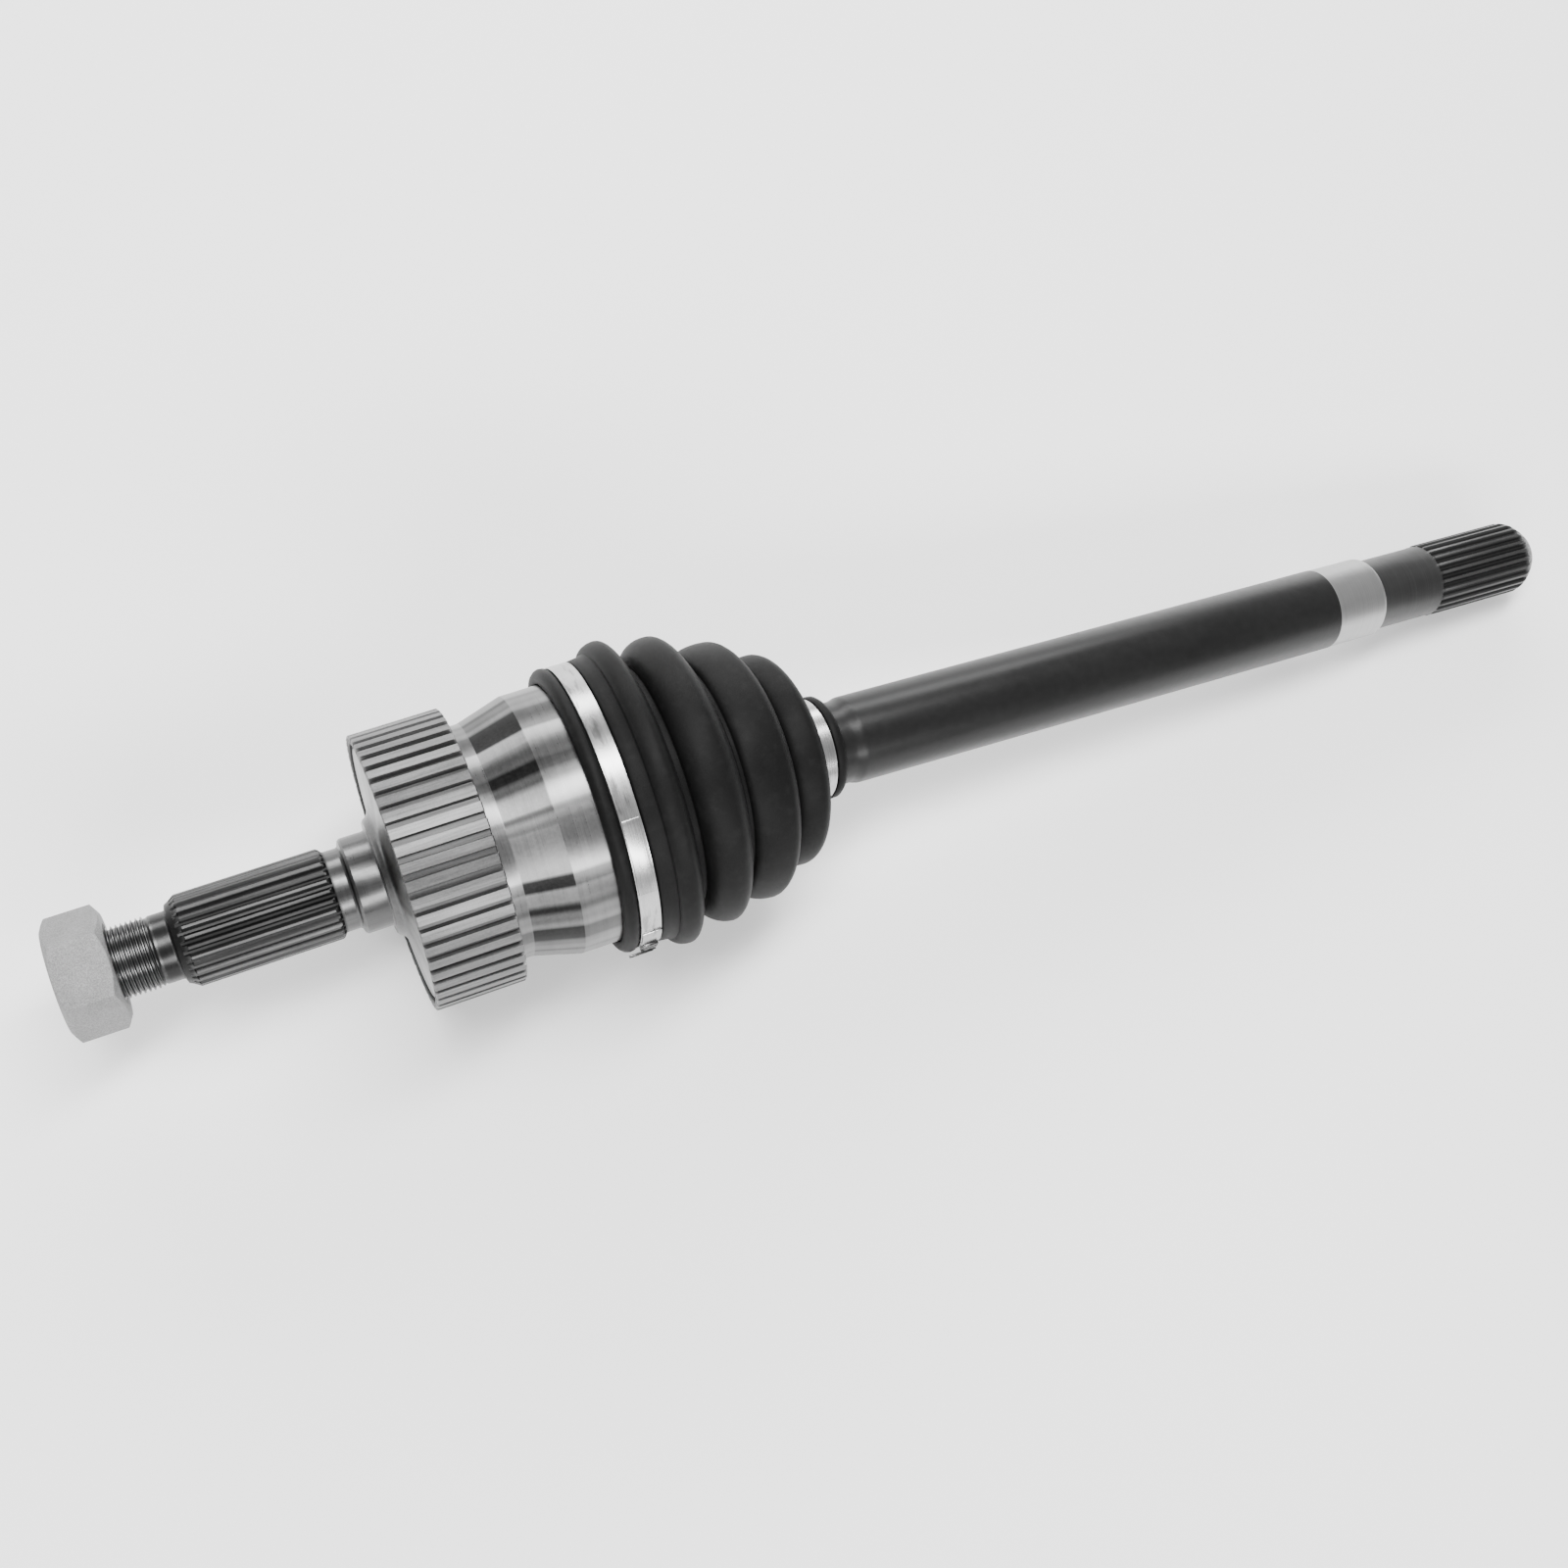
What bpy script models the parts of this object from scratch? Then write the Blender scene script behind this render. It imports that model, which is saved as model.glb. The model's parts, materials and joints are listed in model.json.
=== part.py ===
"""Constant-velocity drive axle: a ball joint in a bell with a splined stub, a rubber boot and a solid bar.

Every piece is drawn along its own axis, with the joint centre at zero, the nut on the -X side and the
bar on the +X side. Three empties at the joint centre then tilt the bell, the cage and the bar.
"""
import math

import bmesh
import bpy
from mathutils import Matrix, Vector

MM = 0.001
GAP = 0.3  # between pieces that touch
ROUND = 30  # flats of a plain round

# ball joint
BALL_CIRCLE_RADIUS = 30.0
BALL_RADIUS = 9.4
BALL_COUNT = 6
TRACK_CLEARANCE = 1.5
TRACK_BACK = math.radians(-43.0)  # ends of the bell's tracks
TRACK_FRONT = math.radians(38.0)
CAGE_WALL = 5.0
CAGE_WIDTH = 30.0
WINDOW_PLAY_ALONG = 0.8
WINDOW_PLAY_AROUND = 2.2
SPHERE_CLEARANCE = 0.5
RACE_WIDTH = 22.0
RACE_BORE_RADIUS = 13.3
RING_GROOVE_DEPTH = 1.4
SNAP_RING_WIDTH = 1.3
SNAP_RING_HEIGHT = 1.6
SNAP_RING_OPENING = 5.0

# tone ring, distances from the joint centre
TONE_FROM = -53.4
TONE_WIDTH = 30.7
TONE_RIM = 0.8  # wall of its overhanging back edge
TONE_TEETH = 52
TONE_TOOTH_DEPTH = 2.2

# bell
BELL_WALL = 4.5  # outside the ball tracks
BELL_RADIUS = BALL_CIRCLE_RADIUS + BALL_RADIUS + TRACK_CLEARANCE + BELL_WALL
BELL_BACK_RADIUS = BELL_RADIUS - 4.6
FLANGE_RADIUS = BELL_BACK_RADIUS + 3.4  # the back of the bell, inside the tone ring's edge
FLANGE_FROM = TONE_FROM + 1.2
FLANGE_TO = FLANGE_FROM + 8.9
FLANGE_CHAMFER = 1.0
BELL_CONE_FROM = TONE_FROM + TONE_WIDTH + 4.9
BELL_CONE_TO = BELL_CONE_FROM + 16.0
BELL_MOUTH = 24.0
BELL_MOUTH_RADIUS = BELL_RADIUS - 4.4
MOUTH_CHAMFER = 0.8
MOUTH_CONE_START = 10.0
CAVITY_END_CUT = 5.0  # how much of the round end of the cavity is left flat
TONE_LIP_RADIUS = FLANGE_RADIUS + 2 * GAP
TONE_RADIUS = TONE_LIP_RADIUS + TONE_RIM + TONE_TOOTH_DEPTH

# stub shaft and nut
SPLINE_DEPTH = 1.3
STUB_SPLINE_RADIUS = 15.5
STUB_SPLINE_LENGTH = 52.5
STUB_SPLINE_TEETH = 28
STUB_NECK_RADIUS = STUB_SPLINE_RADIUS - SPLINE_DEPTH - 0.3
STUB_NECK_LENGTH = 5.9
JOURNAL_RADIUS = STUB_SPLINE_RADIUS + 0.9
JOURNAL_LENGTH = 9.6
SHOULDER_RADIUS = JOURNAL_RADIUS + 3.2
SHOULDER_AT = TONE_FROM - 4.0
SHOULDER_SLOPE_LENGTH = 2.6
SHOULDER_SLOPE_HEIGHT = 1.6
FLARE_HEIGHT = 8.0  # how far the back of the bell curves out of the shoulder
THREAD_RADIUS = 12.0
THREAD_LENGTH = 30.6
THREAD_CHAMFER = 1.2
THREAD_NECK_RADIUS = THREAD_RADIUS - 0.5
THREAD_NECK_LENGTH = 5.6
CENTRE_HOLE_RADIUS = 2.6
CENTRE_HOLE_DEPTH = 2.2
NUT_ACROSS_FLATS = 36.0
NUT_THICKNESS = 18.8
NUT_CHAMFER = 0.6
NUT_BORE_CHAMFER = 1.0
NUT_STAND_OFF = 13.7  # left bare between the nut and the neck of the thread
NUT_TURN = math.radians(-17.5)
THREAD_TO = SHOULDER_AT - JOURNAL_LENGTH - STUB_NECK_LENGTH - STUB_SPLINE_LENGTH - THREAD_NECK_LENGTH
NUT_FACE_AT = THREAD_TO - NUT_STAND_OFF

# axle bar
BAR_RADIUS = 15.85
BAR_FULL_TO = 329.5
GROUND_RADIUS = BAR_RADIUS - 0.1
GROUND_WIDTH = 22.9
INNER_SPLINE_RADIUS = 14.55
INNER_SPLINE_LENGTH = 53.6
INNER_SPLINE_TEETH = 25
INNER_NECK_RADIUS = INNER_SPLINE_RADIUS - 0.45
INNER_NECK_LENGTH = 31.0
END_CHAMFER_LENGTH = 9.5
END_CHAMFER_HEIGHT = 7.2
END_HOLE_RADIUS = 2.4
CUFF_SEAT_RADIUS = BAR_RADIUS - 0.85
SLIM_RADIUS = RACE_BORE_RADIUS - 1.1  # bar inside the boot
SLIM_TAPER_LENGTH = 12.0

# boot and clamps
BOOT_WALL = 2.6
BOOT_LIP_FROM = BELL_MOUTH - 13.0
BOOT_LIP_RADIUS = BELL_RADIUS + 4.9
LARGE_BAND_FROM = BELL_MOUTH - 7.9
LARGE_BAND_WIDTH = 7.1
LARGE_BAND_RADIUS = BELL_RADIUS + 4.5
LARGE_BAND_THICKNESS = 1.2
LARGE_EAR = (14.0, 3.0)  # length, height
LARGE_EAR_TURN = math.radians(100.0)
SMALL_BAND_FROM = BELL_MOUTH + 74.0
SMALL_BAND_WIDTH = 5.0
SMALL_BAND_RADIUS = CUFF_SEAT_RADIUS + 3.2
SMALL_BAND_THICKNESS = 0.9
SMALL_EAR = (8.0, 2.6)
SMALL_EAR_TURN = math.radians(108.0)
EAR_SIDE_STEP = 0.6
EAR_ROOT = 0.5  # how deep an ear stands in its band
BAND_FLATS = 48
CUFF_LIP_RADIUS = CUFF_SEAT_RADIUS + 3.7
CUFF_LIP_WIDTH = 4.0
CUFF_SEAT_LENGTH = 26.0  # bar ground for the cuff, up to the small band
BAR_FULL_FROM = SMALL_BAND_FROM + 18.0
FIRST_STEP_LENGTH = 3.4  # short straight wall between the large band and the first fold
FOLD_DEPTH = 7.7
CRESTS = [  # along, radius, width before and behind it
    (BELL_MOUTH + 10.3, BELL_RADIUS + 8.8, 4.2, 5.2),
    (BELL_MOUTH + 27.8, BELL_RADIUS + 5.6, 9.5, 5.6),
    (BELL_MOUTH + 47.3, BELL_RADIUS + 0.8, 11.0, 5.8),
    (BELL_MOUTH + 62.5, BELL_RADIUS - 7.2, 7.4, 5.5),
]
VALLEYS = [  # along, radius
    (BELL_MOUTH + 16.7, BELL_RADIUS - 2.9),
    (BELL_MOUTH + 34.5, BELL_RADIUS - 4.9),
    (BELL_MOUTH + 54.0, BELL_RADIUS - 10.9),
]
FLEX_END = BELL_MOUTH + 52.0


def clear_scene():
    for obj in list(bpy.data.objects):
        bpy.data.objects.remove(obj, do_unlink=True)


def material(name, colour, roughness, metallic):
    made = bpy.data.materials.new(name)
    made.use_nodes = True
    shader = made.node_tree.nodes["Principled BSDF"]
    shader.inputs["Base Color"].default_value = (*colour, 1.0)
    shader.inputs["Roughness"].default_value = roughness
    shader.inputs["Metallic"].default_value = metallic
    return made


def add_object(name, bm, parent, look):
    """Turns a bmesh drawn in millimetres into a named object on its parent empty."""
    bmesh.ops.remove_doubles(bm, verts=bm.verts, dist=0.001)
    bmesh.ops.recalc_face_normals(bm, faces=bm.faces)
    bmesh.ops.scale(bm, vec=(MM, MM, MM), verts=bm.verts)
    mesh = bpy.data.meshes.new(name)
    bm.to_mesh(mesh)
    bm.free()
    mesh.shade_smooth()
    mesh.set_sharp_from_angle(angle=math.radians(35))
    obj = bpy.data.objects.new(name, mesh)
    bpy.context.collection.objects.link(obj)
    obj.parent = parent
    if look is not None:
        mesh.materials.append(material(name, *look))
    return obj


def turned(profile, segments, closed):
    """Spins (along, radius) points round X. The first flat of the round faces straight down."""
    bm = bmesh.new()
    start = Matrix.Rotation(math.pi / segments, 3, "X")
    points = [bm.verts.new(start @ Vector((along, 0.0, -radius))) for along, radius in profile]
    edges = [bm.edges.new(pair) for pair in zip(points, points[1:])]
    if closed:
        edges.append(bm.edges.new((points[-1], points[0])))
    bmesh.ops.spin(
        bm,
        geom=points + edges,
        cent=(0, 0, 0),
        axis=(1, 0, 0),
        angle=math.tau,
        steps=segments,
        use_duplicate=False,
    )
    bmesh.ops.remove_doubles(bm, verts=bm.verts, dist=0.001)
    return bm


def cut_spline(bm, teeth, low, high, tip, depth):
    """Pulls every second row of the rings between low and high inwards, which leaves V-shaped teeth."""
    step = math.tau / (2 * teeth)
    for vert in bm.verts:
        radius = math.hypot(vert.co.y, vert.co.z)
        if not (low < vert.co.x < high and radius > tip - 0.01):
            continue
        row = round((math.atan2(vert.co.y, -vert.co.z) - step / 2) / step)
        if row % 2:
            vert.co.y *= (radius - depth) / radius
            vert.co.z *= (radius - depth) / radius


def bore_for(radius):
    """Bore radius of a round with flats that clears a shaft of this radius by the gap."""
    return (radius + GAP) / math.cos(math.pi / ROUND)


def ball_sphere(radius, low, high, steps):
    """Profile points on a sphere round the joint centre, from one distance along the axis to another."""
    first = math.asin(low / radius)
    last = math.asin(high / radius)
    angles = [first + (last - first) * number / steps for number in range(steps + 1)]
    return [(radius * math.sin(angle), radius * math.cos(angle)) for angle in angles]


def cutter(name, bm, parent):
    obj = add_object(name, bm, parent, None)
    obj.hide_render = True
    obj.display_type = "WIRE"
    return obj


def boolean(obj, other, operation):
    step = obj.modifiers.new(other.name, "BOOLEAN")
    step.operation = operation
    step.solver = "EXACT"
    step.object = other


def track_cutter(name, parent, turn, first, last):
    """A groove for one ball: a circle carried on an arc round the joint centre."""
    bm = bmesh.new()
    ring = bmesh.ops.create_circle(bm, segments=12, radius=BALL_RADIUS + TRACK_CLEARANCE)["verts"]
    stand = Matrix.Rotation(math.radians(90), 3, "Y")
    for vert in ring:
        vert.co = stand @ vert.co + Vector((0.0, 0.0, BALL_CIRCLE_RADIUS))
        vert.co = Matrix.Rotation(first, 3, "Y") @ vert.co
    bmesh.ops.spin(
        bm,
        geom=ring + list(bm.edges),
        cent=(0, 0, 0),
        axis=(0, 1, 0),
        angle=last - first,
        steps=6,
        use_duplicate=False,
    )
    bmesh.ops.holes_fill(bm, edges=[edge for edge in bm.edges if edge.is_boundary], sides=0)
    bmesh.ops.rotate(bm, cent=(0, 0, 0), matrix=Matrix.Rotation(turn, 3, "X"), verts=bm.verts)
    return cutter(name, bm, parent)


def block(size, place, turn):
    """A box centred at place, then turned about the axle's own axis."""
    bm = bmesh.new()
    bmesh.ops.create_cube(bm, size=1.0)
    bmesh.ops.scale(bm, vec=size, verts=bm.verts)
    bmesh.ops.translate(bm, vec=place, verts=bm.verts)
    bmesh.ops.rotate(bm, cent=(0, 0, 0), matrix=Matrix.Rotation(turn, 3, "X"), verts=bm.verts)
    return bm


def make_housing(parent):
    cage_radius = BALL_CIRCLE_RADIUS + CAGE_WALL / 2
    sphere = cage_radius + SPHERE_CLEARANCE
    cavity_floor = CAVITY_END_CUT - sphere
    journal_from = SHOULDER_AT - JOURNAL_LENGTH
    spline_to = journal_from - STUB_NECK_LENGTH
    spline_from = spline_to - STUB_SPLINE_LENGTH
    thread_from = THREAD_TO - THREAD_LENGTH
    outside = [
        (thread_from + CENTRE_HOLE_DEPTH, 0.0),
        (thread_from, CENTRE_HOLE_RADIUS),
        (thread_from, THREAD_RADIUS - THREAD_CHAMFER),
        (thread_from + THREAD_CHAMFER, THREAD_RADIUS),
        (THREAD_TO - 0.8, THREAD_RADIUS),
        (THREAD_TO, THREAD_NECK_RADIUS),
        (spline_from, THREAD_NECK_RADIUS),
        (spline_from + 1.0, STUB_SPLINE_RADIUS - SPLINE_DEPTH),
        (spline_from + 2.6, STUB_SPLINE_RADIUS),
        (spline_to - 1.6, STUB_SPLINE_RADIUS),
        (spline_to, STUB_NECK_RADIUS),
        (journal_from - 1.4, STUB_NECK_RADIUS),
        (journal_from, JOURNAL_RADIUS - 0.4),
        (journal_from + 0.6, JOURNAL_RADIUS),
        (SHOULDER_AT, JOURNAL_RADIUS),
        (SHOULDER_AT, SHOULDER_RADIUS),
        (SHOULDER_AT + SHOULDER_SLOPE_LENGTH, SHOULDER_RADIUS + SHOULDER_SLOPE_HEIGHT),
        (FLANGE_FROM - 1.4, SHOULDER_RADIUS + FLARE_HEIGHT),
        (FLANGE_FROM, FLANGE_RADIUS - FLANGE_CHAMFER),
        (FLANGE_FROM + FLANGE_CHAMFER, FLANGE_RADIUS),
        (FLANGE_TO, FLANGE_RADIUS),
        (FLANGE_TO, BELL_BACK_RADIUS),
        (BELL_CONE_FROM, BELL_BACK_RADIUS),
        (BELL_CONE_TO, BELL_RADIUS),
    ]
    inside = [
        (BELL_MOUTH - MOUTH_CHAMFER, BELL_RADIUS),
        (BELL_MOUTH, BELL_RADIUS - MOUTH_CHAMFER),
        (BELL_MOUTH, BELL_MOUTH_RADIUS),
    ]
    inside += ball_sphere(sphere, cavity_floor, MOUTH_CONE_START, 9)[::-1]
    inside.append((cavity_floor, 0.0))
    bm = turned(outside + inside, 2 * STUB_SPLINE_TEETH, closed=False)
    cut_spline(bm, STUB_SPLINE_TEETH, spline_from + 2.0, spline_to - 1.0, STUB_SPLINE_RADIUS, SPLINE_DEPTH)
    housing = add_object("outer_joint_housing", bm, parent, ((0.62, 0.62, 0.61), 0.28, 1.0))
    for number in range(BALL_COUNT):
        turn = math.tau * number / BALL_COUNT
        track = track_cutter(f"bell_track_{number + 1}", parent, turn, TRACK_BACK, TRACK_FRONT)
        boolean(housing, track, "DIFFERENCE")
    return housing


def make_tone_ring(parent):
    seat = BELL_BACK_RADIUS + GAP
    step = FLANGE_TO + GAP
    end = TONE_FROM + TONE_WIDTH
    profile = [
        (TONE_FROM, TONE_RADIUS),
        (end, TONE_RADIUS),
        (end, seat),
        (step, seat),
        (step, TONE_LIP_RADIUS),
        (TONE_FROM, TONE_LIP_RADIUS),
    ]
    rows = 4 * TONE_TEETH
    bm = turned(profile, rows, closed=True)
    spacing = math.tau / rows
    for vert in bm.verts:
        radius = math.hypot(vert.co.y, vert.co.z)
        row = round((math.atan2(vert.co.y, -vert.co.z) - spacing / 2) / spacing)
        if radius > TONE_RADIUS - 0.01 and row % 4 in (2, 3):
            vert.co.y *= (radius - TONE_TOOTH_DEPTH) / radius
            vert.co.z *= (radius - TONE_TOOTH_DEPTH) / radius
    return add_object("abs_tone_ring", bm, parent, ((0.66, 0.66, 0.64), 0.42, 1.0))


def make_nut(parent):
    corner = NUT_ACROSS_FLATS / 2 / math.cos(math.pi / 6)
    circle = NUT_ACROSS_FLATS / 2 - NUT_CHAMFER
    outer_face = NUT_FACE_AT - NUT_THICKNESS
    bm = bmesh.new()
    bmesh.ops.create_cone(
        bm, cap_ends=True, segments=6, radius1=corner, radius2=corner, depth=NUT_THICKNESS
    )
    lay = Matrix.Rotation(math.radians(90), 3, "Y")
    bmesh.ops.rotate(bm, cent=(0, 0, 0), matrix=lay, verts=bm.verts)
    half_side = Matrix.Rotation(math.pi / 6 + NUT_TURN, 3, "X")
    bmesh.ops.rotate(bm, cent=(0, 0, 0), matrix=half_side, verts=bm.verts)
    middle = (outer_face + NUT_FACE_AT) / 2
    bmesh.ops.translate(bm, vec=(middle, 0, 0), verts=bm.verts)
    nut = add_object("axle_nut", bm, parent, ((0.56, 0.56, 0.55), 0.5, 0.8))
    slope = math.tan(math.radians(30))
    reach = corner - circle
    envelope = [
        (outer_face - 1.0, 0.0),
        (outer_face - 1.0, circle),
        (outer_face, circle),
        (outer_face + reach * slope * 1.4, corner + 0.6),
        (NUT_FACE_AT - reach * slope * 1.4, corner + 0.6),
        (NUT_FACE_AT, circle),
        (NUT_FACE_AT + 1.0, circle),
        (NUT_FACE_AT + 1.0, 0.0),
    ]
    boolean(nut, cutter("nut_chamfers", turned(envelope, 48, closed=False), parent), "INTERSECT")
    bore = bore_for(THREAD_RADIUS)
    hole = [
        (outer_face - 2.0, 0.0),
        (outer_face - 2.0, bore + NUT_BORE_CHAMFER + 2.0),
        (outer_face + NUT_BORE_CHAMFER, bore),
        (NUT_FACE_AT - NUT_BORE_CHAMFER, bore),
        (NUT_FACE_AT + 2.0, bore + NUT_BORE_CHAMFER + 2.0),
        (NUT_FACE_AT + 2.0, 0.0),
    ]
    boolean(nut, cutter("nut_bore", turned(hole, ROUND, closed=False), parent), "DIFFERENCE")
    return nut


def make_band(name, parent, start, width, radius, thickness, ear, ear_turn):
    """A clamp band with its crimped ear."""
    inner = radius - thickness
    profile = [(start, inner), (start, radius), (start + width, radius), (start + width, inner)]
    bm = turned(profile, BAND_FLATS, closed=True)
    band = add_object(name, bm, parent, ((0.78, 0.78, 0.77), 0.2, 1.0))
    length, height = ear
    size = (width - 2 * EAR_SIDE_STEP, length, height)
    place = (start + width / 2, 0.0, inner + EAR_ROOT + height / 2)
    lump = cutter(name + "_ear_shape", block(size, place, ear_turn), parent)
    boolean(band, lump, "UNION")
    return band


def make_cage(parent):
    outer = BALL_CIRCLE_RADIUS + CAGE_WALL / 2
    inner = BALL_CIRCLE_RADIUS - CAGE_WALL / 2
    half = CAGE_WIDTH / 2
    profile = ball_sphere(outer, -half, half, 5) + ball_sphere(inner, -half, half, 5)[::-1]
    bm = turned(profile, ROUND, closed=True)
    cage = add_object("ball_cage", bm, parent, ((0.35, 0.35, 0.35), 0.4, 1.0))
    size = (2 * BALL_RADIUS + WINDOW_PLAY_ALONG, 2 * BALL_RADIUS + WINDOW_PLAY_AROUND, 3 * CAGE_WALL)
    for number in range(BALL_COUNT):
        turn = math.tau * number / BALL_COUNT
        window = block(size, (0.0, 0.0, BALL_CIRCLE_RADIUS), turn)
        boolean(cage, cutter(f"cage_window_{number + 1}", window, parent), "DIFFERENCE")
    return cage


def make_balls(parent):
    for number in range(BALL_COUNT):
        turn = math.tau * number / BALL_COUNT
        bm = bmesh.new()
        bmesh.ops.create_uvsphere(bm, u_segments=12, v_segments=7, radius=BALL_RADIUS)
        bmesh.ops.translate(bm, vec=(0, 0, BALL_CIRCLE_RADIUS), verts=bm.verts)
        bmesh.ops.rotate(bm, cent=(0, 0, 0), matrix=Matrix.Rotation(turn, 3, "X"), verts=bm.verts)
        add_object(f"steel_ball_{number + 1}", bm, parent, ((0.8, 0.8, 0.8), 0.08, 1.0))


def make_race(parent):
    outer = BALL_CIRCLE_RADIUS - CAGE_WALL / 2 - SPHERE_CLEARANCE
    half = RACE_WIDTH / 2
    profile = ball_sphere(outer, -half, half, 4)
    profile += [(half, RACE_BORE_RADIUS), (-half, RACE_BORE_RADIUS)]
    bm = turned(profile, ROUND, closed=True)
    race = add_object("inner_race", bm, parent, ((0.6, 0.6, 0.6), 0.3, 1.0))
    for number in range(BALL_COUNT):
        turn = math.tau * number / BALL_COUNT
        groove = track_cutter(f"race_track_{number + 1}", parent, turn, math.radians(-45), math.radians(45))
        boolean(race, groove, "DIFFERENCE")
    return race


def make_shaft(parent):
    race_half = RACE_WIDTH / 2
    seat = RACE_BORE_RADIUS - GAP
    groove = seat - RING_GROOVE_DEPTH
    ring_to = race_half + GAP + SNAP_RING_WIDTH + GAP
    cuff_from = SMALL_BAND_FROM - CUFF_SEAT_LENGTH
    ground_to = BAR_FULL_TO + GROUND_WIDTH
    spline_from = ground_to + INNER_NECK_LENGTH
    spline_to = spline_from + INNER_SPLINE_LENGTH
    chamfer = BAR_RADIUS - CUFF_SEAT_RADIUS
    profile = [
        (-ring_to - 1.4, 0.0),
        (-ring_to - 1.4, seat - 1.0),
        (-ring_to - 0.4, seat),
        (-ring_to, seat),
        (-ring_to, groove),
        (-race_half, groove),
        (-race_half, seat),
        (race_half, seat),
        (race_half, groove),
        (ring_to, groove),
        (ring_to, seat),
        (ring_to + 1.2, seat),
        (ring_to + 3.4, SLIM_RADIUS),
        (cuff_from - SLIM_TAPER_LENGTH, SLIM_RADIUS),
        (cuff_from, CUFF_SEAT_RADIUS),
        (BAR_FULL_FROM - 2.4 * chamfer, CUFF_SEAT_RADIUS),
        (BAR_FULL_FROM, BAR_RADIUS),
        (BAR_FULL_TO, BAR_RADIUS),
        (BAR_FULL_TO + 0.2, GROUND_RADIUS),
        (ground_to - 1.0, GROUND_RADIUS),
        (ground_to + 1.2, INNER_NECK_RADIUS),
        (spline_from - 0.8, INNER_NECK_RADIUS),
        (spline_from, INNER_SPLINE_RADIUS),
        (spline_to - END_CHAMFER_LENGTH, INNER_SPLINE_RADIUS),
        (spline_to - END_CHAMFER_LENGTH * 0.47, INNER_SPLINE_RADIUS - END_CHAMFER_HEIGHT * 0.4),
        (spline_to - END_CHAMFER_LENGTH * 0.12, INNER_SPLINE_RADIUS - END_CHAMFER_HEIGHT * 0.8),
        (spline_to, INNER_SPLINE_RADIUS - END_CHAMFER_HEIGHT),
        (spline_to, END_HOLE_RADIUS),
        (spline_to - CENTRE_HOLE_DEPTH, 0.0),
    ]
    bm = turned(profile, 2 * INNER_SPLINE_TEETH, closed=False)
    teeth_to = spline_to - END_CHAMFER_LENGTH + 0.4
    cut_spline(bm, INNER_SPLINE_TEETH, spline_from - 0.4, teeth_to, INNER_SPLINE_RADIUS, SPLINE_DEPTH)
    return add_object("axle_shaft", bm, parent, ((0.025, 0.025, 0.025), 0.38, 0.0))


def make_snap_ring(name, parent, start, gap_turn):
    """An open ring in its groove beside the inner race."""
    inner = RACE_BORE_RADIUS - GAP - RING_GROOVE_DEPTH + GAP
    outer = inner + RING_GROOVE_DEPTH + SNAP_RING_HEIGHT
    end = start + SNAP_RING_WIDTH
    profile = [(start, inner), (start, outer), (end, outer), (end, inner)]
    ring = add_object(name, turned(profile, ROUND, closed=True), parent, ((0.4, 0.4, 0.4), 0.35, 1.0))
    size = (4 * SNAP_RING_WIDTH, SNAP_RING_OPENING, 3 * (outer - inner))
    place = (start + SNAP_RING_WIDTH / 2, 0.0, (outer + inner) / 2)
    boolean(ring, cutter(name + "_gap", block(size, place, gap_turn), parent), "DIFFERENCE")
    return ring


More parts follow.
